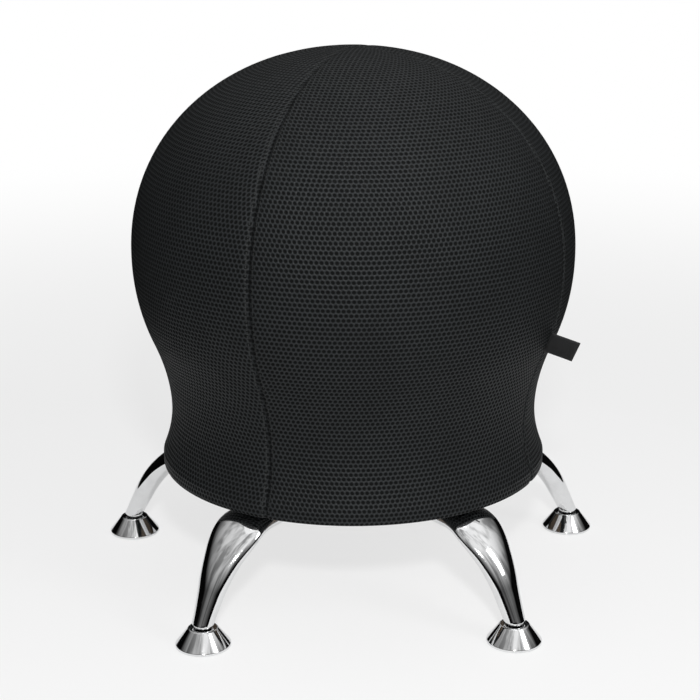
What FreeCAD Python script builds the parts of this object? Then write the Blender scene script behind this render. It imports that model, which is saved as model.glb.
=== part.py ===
# Balance ball chair: an inflatable ball under a sewn mesh cover, standing on a round board that is
# bolted to a five-legged chromed base with swivelling bell glides.
# Lengths are in millimetres and angles in degrees. +Z is up and -Y is the front. The origin is on the
# floor, under the middle of the chair's outer box.
import FreeCAD
import Part
import Sketcher
import math
import os

Vector = FreeCAD.Vector
Rotation = FreeCAD.Rotation
Placement = FreeCAD.Placement

doc = FreeCAD.newDocument("balance_ball_chair")

# The legs, in the order in which they stand round the chair, seen from above.
PLACES = ("front_left", "front_right", "right", "back", "left")
PITCH = 360 / len(PLACES)

# Driving sizes: alias, value, and what the value is.
DRIVING_SIZES = (
    ("foot_circle_radius", 270.5, "radius of the circle through the five glides"),
    ("ball_radius", 237.3, "half the ball's width when a cover holds it"),
    ("ball_centre_height", 364.9, "height of the ball's widest ring above the floor"),
    ("ball_rise", 213, "ball's height above its widest ring"),
    ("ball_drop", 226, "ball's depth below its widest ring, before it is flattened on the board"),
    ("ball_fullness", 2.08, "exponent of the ball's outline, 2 for a plain ellipse"),
    ("ball_wall", 2, "wall of the ball"),
    ("valve_height", 226, "height of the filling hole in the ball's back"),
    ("valve_bore_radius", 4.2, "radius of the filling hole"),
    ("plug_flange_radius", 9, "radius of the plug's flange"),
    ("plug_flange_thickness", 1.8, "thickness of the plug's flange"),
    ("plug_length", 9, "length of the plug's stem"),
    ("cover_thickness", 1.5, "thickness of the mesh cover"),
    ("cover_gap", 0.3, "room between the cover and what it lies on"),
    ("cover_leaves_ball_height", 270, "height at which the stretched cover leaves the ball"),
    ("cover_waist_radius", 200.7, "radius of the cover at its waist"),
    ("cover_waist_height", 190, "height of the waist above the floor"),
    ("cover_shoulder_angle", 22, "how far round the board's top edge the cover wraps"),
    ("front_seam_angle", -26.6, "azimuth of the seam left of the front, from the front towards +X"),
    ("hem_radius", 176, "radius of the elastic in the hem"),
    ("hem_thickness", 4.4, "thickness of the elastic"),
    ("label_root_height", 283.8, "height of the middle of the label's sewn end"),
    ("label_length", 31, "length of the label that stands out of the seam"),
    ("label_width", 22, "width of the label"),
    ("label_thickness", 1.4, "thickness of the folded label"),
    ("label_droop_angle", 12, "how far the label hangs below level"),
    ("label_slant_angle", 11, "how far the label's ends lean with the cover"),
    ("board_radius", 209.7, "radius of the board"),
    ("board_thickness", 18, "thickness of the board"),
    ("board_bottom_height", 125.8, "height of the board's underside"),
    ("board_top_round", 6, "rounding of the board's top edge"),
    ("board_bottom_round", 3, "rounding of the board's bottom edge"),
    ("bolt_circle_radius", 70, "radius of the bolt circle"),
    ("bolt_radius", 4, "radius of the bolts"),
    ("bolt_clearance", 0.5, "radial room round a bolt in the plate"),
    ("thread_clearance", 0.05, "radial room in a thread"),
    ("bolt_head_radius", 7, "radius of a button head"),
    ("bolt_head_height", 4.4, "height of a button head"),
    ("bolt_crown_radius", 3.6, "radius of the flat on a button head"),
    ("bolt_key_width", 5, "width of the hexagon recess"),
    ("bolt_key_depth", 2.6, "depth of the hexagon recess"),
    ("washer_radius", 9, "radius of the washers"),
    ("washer_thickness", 1.6, "thickness of the washers"),
    ("nut_barrel_radius", 5.5, "radius of a tee nut's barrel"),
    ("nut_barrel_length", 12, "length of a tee nut's barrel"),
    ("nut_flange_radius", 12, "radius of a tee nut's flange"),
    ("nut_flange_thickness", 1.5, "thickness of a tee nut's flange"),
    ("nut_recess_depth", 2, "depth of the recess for a tee nut's flange"),
    ("fit_clearance", 0.1, "room round a piece that is pressed into another"),
    ("plate_radius", 95, "radius of the mounting plate"),
    ("plate_thickness", 5, "thickness of the mounting plate"),
    ("plate_edge", 1, "bevel of the mounting plate's lower edge"),
    ("hub_radius", 38, "outer radius of the hub tube"),
    ("hub_wall", 8, "wall of the hub tube"),
    ("hub_height", 26, "height of the hub tube"),
    ("plug_cap_thickness", 3, "thickness of the hub plug's cap"),
    ("plug_cap_edge", 1.2, "bevel of the hub plug's cap"),
    ("plug_spigot_length", 9, "length of the hub plug's spigot"),
    ("plug_spigot_wall", 2.5, "wall of the hub plug's spigot"),
    ("arm_foot_height", 24, "height of a leg's lower end above the floor"),
    ("arm_foot_lean", 27, "lean of a leg at its foot, from upright"),
    ("arm_knee_lean", 57, "lean of a leg where it passes under the board's edge"),
    ("arm_straight", 34, "straight length of a leg above its foot"),
    ("arm_bend_radius", 130, "radius of a leg's long bend"),
    ("arm_crown_cut", 0.5, "depth of the flat that a leg has under the plate"),
    ("arm_foot_overrun", 14, "length of leg that its level foot is cut from"),
    ("arm_foot_width", 22, "width of a leg at its foot"),
    ("arm_shoulder_width", 60, "width of a leg under the board's edge"),
    ("arm_hub_width", 42, "width of a leg at the hub"),
    ("arm_foot_thickness", 18, "thickness of a leg at its foot"),
    ("arm_bend_thickness", 23, "thickness of a leg in its bend"),
    ("arm_run_thickness", 22, "thickness of a leg under the board"),
    ("insert_radius", 5.5, "radius of the threaded insert in a leg"),
    ("insert_length", 8, "length of the threaded insert"),
    ("stud_radius", 4, "radius of a glide's stud"),
    ("stud_length", 7.5, "length of the stud inside the insert"),
    ("stud_tip_edge", 0.8, "bevel of the stud's tip"),
    ("collar_radius", 10, "radius of the stud's collar"),
    ("collar_thickness", 2.4, "thickness of the stud's collar"),
    ("collar_edge", 0.5, "bevel of the collar's edges"),
    ("collar_gap", 0.1, "room between the collar and the leg"),
    ("neck_radius", 3.5, "radius of the neck between collar and ball"),
    ("swivel_radius", 6, "radius of the ball at the stud's end"),
    ("swivel_height", 13, "height of the swivel's centre above the floor"),
    ("swivel_clearance", 0.05, "room round the swivel ball in its socket"),
    ("glide_radius", 28.5, "radius of a glide's rim"),
    ("glide_top_radius", 15, "radius of a glide's top"),
    ("glide_height", 20, "height of a glide"),
    ("glide_lip_height", 2.4, "height of the upright lip round a glide's rim"),
    ("glide_wall", 1.2, "wall of the bell"),
    ("glide_hole_radius", 5.8, "radius of the hole in the bell's top"),
    ("glide_top_round", 1.2, "rounding of the bell's top edge"),
    ("bell_lift", 0.6, "how far the bell's rim stays off the floor"),
    ("pad_thickness", 2.4, "thickness of the pad's base"),
    ("pad_boss_radius", 9.5, "radius of the pad's boss"),
    ("pad_boss_foot_radius", 12, "radius of the boss where it meets the base"),
    ("pad_mouth_radius", 4.95, "radius of the socket's mouth"),
)

sizes = doc.addObject("Spreadsheet::Sheet", "sizes")
for row, (alias, value, words) in enumerate(DRIVING_SIZES, start=1):
    sizes.set("A%d" % row, words)
    sizes.set("B%d" % row, str(value))
    sizes.setAlias("B%d" % row, alias)
doc.recompute()


def size(alias):
    """The value of one driving size."""
    return float(getattr(sizes, alias))


def value_of(expression):
    """The present value of an expression in the driving sizes."""
    return float(sizes.evalExpression(expression.replace("sizes.", "")))


def from_sheet(expression):
    """The same expression with each alias looked up in the sheet."""
    words = sorted((alias for alias, _, _ in DRIVING_SIZES), key=len, reverse=True)
    marked = expression
    for number, alias in enumerate(words):
        marked = marked.replace(alias, "<%d>" % number)
    for number, alias in enumerate(words):
        marked = marked.replace("<%d>" % number, "sizes." + alias)
    return marked


# Places that several pieces share, as expressions in the driving sizes.
AXIS_SHIFT = "(-foot_circle_radius * (1 - cos(%d)) / 2)" % (PITCH / 2)
BOARD_TOP = "(board_bottom_height + board_thickness)"
PLATE_BOTTOM = "(board_bottom_height - plate_thickness)"
NUT_SEAT = "(board_bottom_height + board_thickness - nut_recess_depth)"
COVER_OFFSET = "(cover_gap + cover_thickness)"
RUN_HEIGHT = "(board_bottom_height - plate_thickness + arm_crown_cut - arm_run_thickness / 2)"


def bare_body(name):
    """An empty body at the document's origin."""
    body = doc.addObject("PartDesign::Body", name)
    body.Label = name
    return body


def new_body(name, azimuth=90.0):
    """An empty body on the chair's own axis, its +X turned to an azimuth from the front towards +X."""
    body = bare_body(name)
    body.Placement = Placement(Vector(0, 0, 0), Rotation(Vector(0, 0, 1), azimuth - 90))
    body.setExpression("Placement.Base.y", from_sheet(AXIS_SHIFT))
    return body


def origin_feature(body, role):
    """One of a body's own origin planes or axes."""
    return [part for part in body.Origin.OriginFeatures if part.Role == role][0]


def new_sketch(body, name, role, offset=None):
    """A sketch on one of the body's origin planes."""
    sketch = body.newObject("Sketcher::SketchObject", name)
    sketch.AttachmentSupport = [(origin_feature(body, role), "")]
    sketch.MapMode = "FlatFace"
    for path, expression in (offset or {}).items():
        sketch.setExpression("AttachmentOffset." + path, from_sheet(expression))
    return sketch


def drive(sketch, constraint, name, expression):
    """Add a dimension to a sketch and tie it to the sheet."""
    number = sketch.addConstraint(constraint)
    sketch.renameConstraint(number, name)
    sketch.setExpression("Constraints." + name, from_sheet(expression))


def outline(body, name, role, corners, offset=None):
    """A closed outline of straight lines through corners given as pairs of expressions."""
    sketch = new_sketch(body, name, role, offset)
    places = [Vector(value_of(across), value_of(up), 0) for across, up in corners]
    for number, place in enumerate(places):
        sketch.addGeometry(Part.LineSegment(place, places[(number + 1) % len(places)]), False)
    for number in range(len(places)):
        after = (number + 1) % len(places)
        sketch.addConstraint(Sketcher.Constraint("Coincident", number, 2, after, 1))
    for number, (across, up) in enumerate(corners):
        place = places[number]
        drive(sketch, Sketcher.Constraint("DistanceX", -1, 1, number, 1, place.x), "across%d" % number, across)
        drive(sketch, Sketcher.Constraint("DistanceY", -1, 1, number, 1, place.y), "up%d" % number, up)
    return sketch


def circle(body, name, radius, offset=None, across="0", up="0"):
    """A level circle whose radius and centre are expressions."""
    sketch = new_sketch(body, name, "XY_Plane", offset)
    centre = Vector(value_of(across), value_of(up), 0)
    sketch.addGeometry(Part.Circle(centre, Vector(0, 0, 1), value_of(radius)), False)
    drive(sketch, Sketcher.Constraint("Radius", 0, value_of(radius)), "radius", radius)
    drive(sketch, Sketcher.Constraint("DistanceX", -1, 1, 0, 3, centre.x), "across", across)
    drive(sketch, Sketcher.Constraint("DistanceY", -1, 1, 0, 3, centre.y), "up", up)
    return sketch


def feature(body, kind, name, **settings):
    """Add a feature to a body. Text settings are expressions, the rest are plain values."""
    made = body.newObject("PartDesign::" + kind, name)
    for key, value in settings.items():
        if isinstance(value, str):
            made.setExpression(key, from_sheet(value))
        else:
            setattr(made, key, value)
    doc.recompute()
    return made


def turn(body, name, sketch):
    """Turn an outline all the way round the upright axis of its sketch."""
    return feature(body, "Revolution", name, Profile=sketch, ReferenceAxis=(sketch, ["V_Axis"]), Angle=360.0)


def ring_edges(shape, radius, height):
    """Names of the level round edges with a given radius at a given height, in a body's own frame."""
    names = []
    for number, edge in enumerate(shape.Edges, start=1):
        curve = edge.Curve
        if not isinstance(curve, Part.Circle):
            continue
        if abs(curve.Radius - radius) < 0.01 and abs(curve.Center.z - height) < 0.01:
            names.append("Edge%d" % number)
    return names


def polar(body, name, made):
    """Repeat a feature round the body's upright axis, once for each leg."""
    axis = origin_feature(body, "Z_Axis")
    pattern = feature(
        body, "PolarPattern", name, Originals=[made], Axis=(axis, [""]), Angle=360.0, Occurrences=len(PLACES)
    )
    body.Tip = pattern
    doc.recompute()


# The ball and the cover share one outline, so that the cover lies on the ball.
def egg_radius(height, offset):
    """Radius of the ball's outline at a height, with everything grown by an offset."""
    above = height - size("ball_centre_height")
    half = size("ball_rise") if above > 0 else size("ball_drop")
    share = min(abs(above) / (half + offset), 1.0)
    fullness = size("ball_fullness")
    return (size("ball_radius") + offset) * (1 - share ** fullness) ** (1 / fullness)


def egg_points(offset, low, steps=9):
    """Points of the ball's outline from its top down to a low height, even in angle."""
    centre = size("ball_centre_height")
    rise = size("ball_rise") + offset
    drop = size("ball_drop") + offset
    fullness = size("ball_fullness")
    points = []
    for step in range(steps + 1):
        turned = math.radians(90 - 90 * step / steps)
        height = centre + rise * math.sin(turned) ** (2 / fullness)
        points.append(Vector(egg_radius(height, offset), 0, height))
    lowest = math.asin(min((centre - low) / drop, 1.0) ** (fullness / 2))
    lower_steps = max(3, round(steps * lowest / math.radians(90)))
    for step in range(1, lower_steps + 1):
        turned = lowest * step / lower_steps
        height = centre - drop * math.sin(turned) ** (2 / fullness)
        points.append(Vector(egg_radius(height, offset), 0, height))
    return points


def smooth(points, end):
    """One smooth edge through points, level at its start and with a given direction at its end."""
    curve = Part.BSplineCurve()
    curve.interpolate(Points=points, InitialTangent=Vector(1, 0, 0), FinalTangent=end)
    return curve.toShape()


def line(start, end):
    return Part.LineSegment(start, end).toShape()


def corner_arc(centre, radius, first, last):
    """An arc in the upright plane, from one angle above level to another."""
    def on_arc(angle):
        turned = math.radians(angle)
        return centre + Vector(radius * math.cos(turned), 0, radius * math.sin(turned))
    return Part.Arc(on_arc(first), on_arc((first + last) / 2), on_arc(last)).toShape()


def turned_solid(edges, angle=360.0):
    """The solid that a closed outline sweeps round the chair's axis."""
    face = Part.Face(Part.Wire(Part.__sortEdges__(edges)))
    return face.revolve(Vector(0, 0, 0), Vector(0, 0, 1), angle)


def fixed_piece(name, shape, turned=0.0):
    """A piece whose shape comes from the outline formula, turned round the chair's axis."""
    piece = doc.addObject("Part::Feature", name)
    piece.Label = name
    piece.Shape = shape
    piece.Placement = Placement(Vector(0, value_of(AXIS_SHIFT), 0), Rotation(Vector(0, 0, 1), turned))


def ball_solid(offset, low):
    """The ball's outline turned into a solid, flat at its low end."""
    points = egg_points(offset, low)
    top = points[0]
    foot = Vector(0, 0, points[-1].z)
    edges = [smooth(points, points[-1] - points[-2]), line(points[-1], foot), line(foot, top)]
    return turned_solid(edges)


def valve_placement():
    """Where the filling hole is: on the ball's back, square to its wall, pointing outwards."""
    height = size("valve_height")
    step = 0.5
    slope = (egg_radius(height + step, 0) - egg_radius(height - step, 0)) / (2 * step)
    outwards = Vector(0, 1, -slope)
    outwards.normalize()
    return Placement(Vector(0, egg_radius(height, 0), height), Rotation(Vector(0, 0, 1), outwards))


def make_ball():
    low = value_of(BOARD_TOP) + size("cover_gap")
    shell = ball_solid(0, low).cut(ball_solid(-size("ball_wall"), low + size("ball_wall")))
    reach = 3 * size("ball_wall")
    bore = Part.makeCylinder(size("valve_bore_radius"), 2 * reach, Vector(0, 0, -reach))
    bore.Placement = valve_placement()
    fixed_piece("ball", shell.cut(bore))


def make_ball_plug():
    body = bare_body("ball_plug")
    gap = "cover_gap"
    stem = "(valve_bore_radius - fit_clearance)"
    corners = (
        ("0", "-plug_length"),
        (stem, "-plug_length"),
        (stem, gap),
        ("plug_flange_radius", gap),
        ("plug_flange_radius", gap + " + plug_flange_thickness"),
        ("0", gap + " + plug_flange_thickness"),
    )
    turn(body, "ball_plug_turned", outline(body, "ball_plug_outline", "XZ_Plane", corners))
    seat = valve_placement()
    shift = Vector(0, value_of(AXIS_SHIFT), 0)
    body.Placement = Placement(seat.Base + shift, seat.Rotation)


def span_points(end_height, end_radius, end_slope, steps):
    """The cover's free stretch from its waist to where it lands, arriving with the landing's slope."""
    waist_radius = size("cover_waist_radius")
    waist_height = size("cover_waist_height")
    reach = end_height - waist_height
    power = end_slope * reach / (end_radius - waist_radius)
    points = []
    for step in range(1, steps + 1):
        share = step / steps
        radius = waist_radius + (end_radius - waist_radius) * share ** power
        points.append(Vector(radius, 0, waist_height + reach * share))
    return points


def cover_points():
    """The cover's outer outline from its top to where it wraps round the board's edge."""
    offset = value_of(COVER_OFFSET)
    leaves = size("cover_leaves_ball_height")
    on_ball = egg_points(offset, leaves)
    step = 0.5
    slope = (egg_radius(leaves + step, offset) - egg_radius(leaves - step, offset)) / (2 * step)
    down_to_waist = span_points(leaves, on_ball[-1].x, slope, 4)[-2::-1]
    waist = Vector(size("cover_waist_radius"), 0, size("cover_waist_height"))
    wrap = math.radians(size("cover_shoulder_angle"))
    edge_round = size("board_top_round") + offset
    edge_radius = size("board_radius") - size("board_top_round") + edge_round * math.cos(wrap)
    edge_height = value_of(BOARD_TOP) - size("board_top_round") + edge_round * math.sin(wrap)
    down_to_board = span_points(edge_height, edge_radius, -math.tan(wrap), 3)
    return on_ball + down_to_waist + [waist] + down_to_board


def moved_inwards(points, distance):
    """The same outline, moved square to itself towards the inside."""
    moved = []
    for number, point in enumerate(points):
        before = points[max(number - 1, 0)]
        after = points[min(number + 1, len(points) - 1)]
        along = after - before
        along.normalize()
        if number == 0:
            along = Vector(1, 0, 0)
        if number == len(points) - 1:
            wrap = math.radians(size("cover_shoulder_angle"))
            along = Vector(math.sin(wrap), 0, -math.cos(wrap))
        moved.append(point + Vector(along.z, 0, -along.x) * distance)
    return moved


def cover_side(points, offset):
    """The edges of one face of the cover: over the ball, round the board's edge and in to the hem."""
    wrap = size("cover_shoulder_angle")
    board_radius = size("board_radius")
    bottom = size("board_bottom_height")
    top_round = size("board_top_round")
    low_round = size("board_bottom_round")
    turned = math.radians(wrap)
    over = smooth(points, Vector(math.sin(turned), 0, -math.cos(turned)))
    top_centre = Vector(board_radius - top_round, 0, value_of(BOARD_TOP) - top_round)
    low_centre = Vector(board_radius - low_round, 0, bottom + low_round)
    out = Vector(offset, 0, 0)
    hem = size("hem_radius") + size("hem_thickness") / 2 + size("cover_gap")
    under = low_centre + Vector(0, 0, -low_round - offset)
    return [
        over,
        corner_arc(top_centre, top_round + offset, wrap, 0),
        line(top_centre + out + Vector(top_round, 0, 0), low_centre + out + Vector(low_round, 0, 0)),
        corner_arc(low_centre, low_round + offset, 0, -90),
        line(under, Vector(hem, 0, under.z)),
    ]


def make_cover():
    """Four gores from the crown to the hem, each a quarter of the way round."""
    gap = size("cover_gap")
    thickness = size("cover_thickness")
    outer_points = cover_points()
    inner_points = moved_inwards(outer_points, thickness)
    outer = cover_side(outer_points, gap + thickness)
    inner = cover_side(inner_points, gap)
    hem_edge = line(outer[-1].Vertexes[-1].Point, inner[-1].Vertexes[-1].Point)
    crown_edge = line(outer_points[0], inner_points[0])
    edges = outer + inner + [hem_edge, crown_edge]
    gores = ("cover_front", "cover_right", "cover_back", "cover_left")
    sweep = 360 / len(gores)
    for number, name in enumerate(gores):
        fixed_piece(name, turned_solid(edges, sweep), size("front_seam_angle") - 90 + sweep * number)


def make_hem_elastic():
    ring = doc.addObject("Part::Torus", "hem_elastic")
    ring.Label = "hem_elastic"
    ring.setExpression("Radius1", from_sheet("hem_radius"))
    ring.setExpression("Radius2", from_sheet("hem_thickness / 2"))
    ring.setExpression("Placement.Base.y", from_sheet(AXIS_SHIFT))
    ring.setExpression("Placement.Base.z", from_sheet("board_bottom_height - cover_gap - hem_thickness / 2"))


def make_cover_label():
    """The folded label, in the plane of the seam at the right of the front."""
    body = bare_body("cover_label")
    half = "label_width / 2"
    lean = "label_width / 2 * tan(label_slant_angle)"
    corners = (
        ("-" + lean, "-" + half),
        ("label_length - " + lean, "-" + half),
        ("label_length + " + lean, half),
        (lean, half),
    )
    sketch = outline(body, "cover_label_outline", "XZ_Plane", corners)
    feature(body, "Pad", "cover_label_pad", Profile=sketch, Length="label_thickness", Midplane=True)
    seam = size("front_seam_angle") + 90
    height = size("label_root_height")
    root = egg_radius(height, value_of(COVER_OFFSET)) + size("cover_gap")
    round_chair = Placement(Vector(0, value_of(AXIS_SHIFT), 0), Rotation(Vector(0, 0, 1), seam - 90))
    out_of_seam = Placement(Vector(root, 0, height), Rotation(Vector(0, 1, 0), size("label_droop_angle")))
    body.Placement = round_chair * out_of_seam


# The bolts stand halfway between the legs.
BOLT_AZIMUTH = PITCH


def make_seat_board():
    body = new_body("seat_board", BOLT_AZIMUTH)
    lift = {"Base.z": "board_bottom_height"}
    disc = circle(body, "board_circle", "board_radius", lift)
    board = feature(body, "Pad", "board_disc", Profile=disc, Length="board_thickness")
    bottom = value_of("board_bottom_height")
    top_edge = ring_edges(board.Shape, size("board_radius"), value_of(BOARD_TOP))
    board = feature(body, "Fillet", "board_top_edge", Base=(board, top_edge), Radius="board_top_round")
    low_edge = ring_edges(board.Shape, size("board_radius"), bottom)
    feature(body, "Fillet", "board_low_edge", Base=(board, low_edge), Radius="board_bottom_round")
    bore = circle(body, "bolt_bore_circle", "nut_barrel_radius + fit_clearance", lift, "bolt_circle_radius")
    bores = feature(
        body, "Pocket", "bolt_bore", Profile=bore, Length="board_thickness + 1", Reversed=True
    )
    polar(body, "bolt_bores", bores)
    seat = {"Base.z": NUT_SEAT}
    recess = circle(body, "nut_recess_circle", "nut_flange_radius + fit_clearance", seat, "bolt_circle_radius")
    recesses = feature(
        body, "Pocket", "nut_recess", Profile=recess, Length="nut_recess_depth + 1", Reversed=True
    )
    polar(body, "nut_recesses", recesses)


def make_turned_set(name, corners):
    """Equal turned pieces on the bolt circle, each a solid of its own."""
    body = new_body(name, BOLT_AZIMUTH)
    body.AllowCompound = True
    sketch = outline(body, name + "_outline", "XZ_Plane", corners, {"Base.x": "bolt_circle_radius"})
    polar(body, name + "_all", turn(body, name + "_one", sketch))


def make_tee_nuts():
    flange_top = NUT_SEAT + " + nut_flange_thickness"
    bore = "(bolt_radius + thread_clearance)"
    corners = (
        (bore, NUT_SEAT + " - nut_barrel_length"),
        ("nut_barrel_radius", NUT_SEAT + " - nut_barrel_length"),
        ("nut_barrel_radius", NUT_SEAT),
        ("nut_flange_radius", NUT_SEAT),
        ("nut_flange_radius", flange_top),
        (bore, flange_top),
    )
    make_turned_set("tee_nuts", corners)


def make_bolt_washers():
    low = PLATE_BOTTOM + " - washer_thickness"
    corners = (
        ("bolt_radius + bolt_clearance", low),
        ("washer_radius", low),
        ("washer_radius", PLATE_BOTTOM),
        ("bolt_radius + bolt_clearance", PLATE_BOTTOM),
    )
    make_turned_set("bolt_washers", corners)


def make_plate_bolts():
    head_top = PLATE_BOTTOM + " - washer_thickness"
    head_low = head_top + " - bolt_head_height"
    key = head_low + " + bolt_key_depth"
    corners = (
        ("bolt_key_width / 2", head_low),
        ("bolt_crown_radius", head_low),
        ("bolt_head_radius - 0.8", head_low + " + bolt_head_height * 0.55"),
        ("bolt_head_radius", head_top + " - 0.6"),
        ("bolt_head_radius", head_top),
        ("bolt_radius", head_top),
        ("bolt_radius", NUT_SEAT),
        ("0", NUT_SEAT),
        ("0", key),
        ("bolt_key_width / 2", key),
    )
    make_turned_set("plate_bolts", corners)


def make_mounting_plate():
    body = new_body("mounting_plate", BOLT_AZIMUTH)
    lift = {"Base.z": PLATE_BOTTOM}
    disc = circle(body, "plate_circle", "plate_radius", lift)
    plate = feature(body, "Pad", "plate_disc", Profile=disc, Length="plate_thickness")
    edge = ring_edges(plate.Shape, size("plate_radius"), value_of(PLATE_BOTTOM))
    feature(body, "Chamfer", "plate_edge_bevel", Base=(plate, edge), Size="plate_edge")
    bore = circle(body, "plate_bore_circle", "bolt_radius + bolt_clearance", lift, "bolt_circle_radius")
    bores = feature(
        body, "Pocket", "plate_bore", Profile=bore, Length="plate_thickness + 1", Reversed=True
    )
    polar(body, "plate_bores", bores)


def make_hub():
    body = new_body("hub_tube")
    low = PLATE_BOTTOM + " - hub_height"
    inner = "hub_radius - hub_wall"
    corners = ((inner, low), ("hub_radius", low), ("hub_radius", PLATE_BOTTOM), (inner, PLATE_BOTTOM))
    turn(body, "hub_tube_turned", outline(body, "hub_tube_outline", "XZ_Plane", corners))

    body = new_body("hub_plug")
    cap = low + " - plug_cap_thickness"
    spigot = "(hub_radius - hub_wall - fit_clearance)"
    spigot_top = low + " + plug_spigot_length"
    corners = (
        ("0", cap),
        ("hub_radius - plug_cap_edge", cap),
        ("hub_radius", cap + " + plug_cap_edge"),
        ("hub_radius", low),
        (spigot, low),
        (spigot, spigot_top),
        (spigot + " - plug_spigot_wall", spigot_top),
        (spigot + " - plug_spigot_wall", low),
        ("0", low),
    )
    turn(body, "hub_plug_turned", outline(body, "hub_plug_outline", "XZ_Plane", corners))


ARM_SECTIONS = 9


# A leg is drawn along +X, with its foot outwards, and then turned to its place.
def arm_path():
    """The stretches of a leg's centre line from its foot: length, bend radius (0 if straight), end lean."""
    knee_lean = size("arm_knee_lean")
    foot_lean = size("arm_foot_lean")
    bend = size("arm_bend_radius")
    turned = math.radians(knee_lean - foot_lean)
    rise = size("arm_straight") * math.cos(math.radians(foot_lean))
    rise += bend * (math.sin(math.radians(knee_lean)) - math.sin(math.radians(foot_lean)))
    left_to_rise = value_of(RUN_HEIGHT) - size("arm_foot_height") - rise
    knee = left_to_rise / (1 - math.sin(math.radians(knee_lean)))
    return (
        (size("arm_straight"), 0, foot_lean),
        (bend * turned, bend, knee_lean),
        (knee * math.radians(90 - knee_lean), knee, 90),
    )


def arm_point(along):
    """Centre and lean of a leg at a length along it from its foot."""
    place = Vector(size("foot_circle_radius"), 0, size("arm_foot_height"))
    lean = size("arm_foot_lean")
    left = along
    for length, radius, end_lean in arm_path():
        step = min(left, length)
        first = math.radians(lean)
        if radius == 0:
            place += Vector(-math.sin(first), 0, math.cos(first)) * step
        else:
            last = first + step / radius
            place += Vector(math.cos(last) - math.cos(first), 0, math.sin(last) - math.sin(first)) * radius
            lean = math.degrees(last)
        left -= step
        if left <= 0:
            return place, lean
    return place - Vector(left, 0, 0), 90


def arm_station(along):
    """One cross-section of a leg: centre, lean, and its width and thickness as expressions."""
    visible = size("arm_straight") + arm_path()[1][0]
    share = min(max(along / visible, 0), 1)
    grown = 0.7 * share + 0.3 * share ** 2
    inward = min(max((along - visible) / (size("foot_circle_radius") - visible), 0), 1)
    swell = min(share / 0.6, 1)
    settle = min(max((share - 0.6) / 0.4, 0), 1)
    width = "arm_foot_width + (arm_shoulder_width - arm_foot_width) * %.4f" % grown
    width += " + (arm_hub_width - arm_shoulder_width) * %.4f" % inward
    thickness = "arm_foot_thickness + (arm_bend_thickness - arm_foot_thickness) * %.4f" % (
        math.sin(swell * math.pi / 2))
    thickness += " + (arm_run_thickness - arm_bend_thickness) * %.4f" % settle
    centre, lean = arm_point(along)
    return centre, lean, width, thickness


def arm_stations():
    """Evenly spaced cross-sections of a leg, from below its foot to inside the hub tube."""
    start = -size("arm_foot_overrun")
    bends = sum(length for length, radius, lean in arm_path())
    run = arm_point(bends)[0].x - size("hub_radius") + size("hub_wall")
    step = (bends + run - start) / (ARM_SECTIONS - 1)
    return [arm_station(start + step * number) for number in range(ARM_SECTIONS)]


def arm_section(body, name, station):
    """An oval cross-section of a leg, square to its centre line."""
    centre, lean, width, thickness = station
    turned = math.radians(lean)
    along = Vector(-math.sin(turned), 0, math.cos(turned))
    side = Vector(0, 1, 0)
    sketch = new_sketch(body, name, "XY_Plane")
    sketch.AttachmentOffset = Placement(centre, Rotation(side, along.cross(side), along, "ZXY"))
    half_width = value_of(width) / 2
    half_thickness = value_of(thickness) / 2
    middle = Vector(0, 0, 0)
    oval = Part.Ellipse(Vector(half_width, 0, 0), Vector(0, half_thickness, 0), middle)
    number = sketch.addGeometry(oval, False)
    sketch.exposeInternalGeometry(number)
    sketch.addConstraint(Sketcher.Constraint("Coincident", 0, 3, -1, 1))
    sketch.addConstraint(Sketcher.Constraint("Horizontal", 1))
    drive(sketch, Sketcher.Constraint("Distance", 1, 2 * half_width), "width", width)
    drive(sketch, Sketcher.Constraint("Distance", 2, 2 * half_thickness), "thickness", thickness)
    return sketch


def make_leg(name, azimuth):
    body = new_body(name, azimuth)
    ovals = [
        arm_section(body, "%s_oval_%d" % (name, number), station)
        for number, station in enumerate(arm_stations())
    ]
    feature(body, "AdditiveLoft", name + "_blank", Profile=ovals[0], Sections=ovals[1:])
    reach = "foot_circle_radius + glide_radius"
    half = "arm_shoulder_width"
    cuts = (
        ("crown", PLATE_BOTTOM, "arm_bend_thickness", True),
        ("foot", "arm_foot_height", "arm_foot_height", False),
    )
    for cut, height, depth, upwards in cuts:
        corners = (("0", "-" + half), (reach, "-" + half), (reach, half), ("0", half))
        sketch = outline(body, "%s_%s_outline" % (name, cut), "XY_Plane", corners, {"Base.z": height})
        feature(body, "Pocket", "%s_%s_cut" % (name, cut), Profile=sketch, Length=depth, Reversed=upwards)
    low = {"Base.z": PLATE_BOTTOM + " - hub_height"}
    cope = circle(body, name + "_cope_circle", "hub_radius", low)
    feature(body, "Pocket", name + "_cope", Profile=cope, Length="2 * hub_height", Reversed=True)
    foot = {"Base.z": "arm_foot_height"}
    bore = circle(body, name + "_insert_circle", "insert_radius + thread_clearance", foot, "foot_circle_radius")
    feature(body, "Pocket", name + "_insert_bore", Profile=bore, Length="insert_length", Reversed=True)


def foot_body(name, azimuth):
    """An empty body on a glide's own axis."""
    body = bare_body(name)
    across = "foot_circle_radius * sin(%d)" % azimuth
    back = AXIS_SHIFT + " - foot_circle_radius * cos(%d)" % azimuth
    body.setExpression("Placement.Base.x", from_sheet(across))
    body.setExpression("Placement.Base.y", from_sheet(back))
    return body


def make_foot_insert(name, azimuth):
    body = foot_body(name, azimuth)
    bore = "stud_radius + thread_clearance"
    top = "arm_foot_height + insert_length"
    corners = ((bore, "arm_foot_height"), ("insert_radius", "arm_foot_height"), ("insert_radius", top), (bore, top))
    turn(body, name + "_turned", outline(body, name + "_outline", "XZ_Plane", corners))


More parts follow.
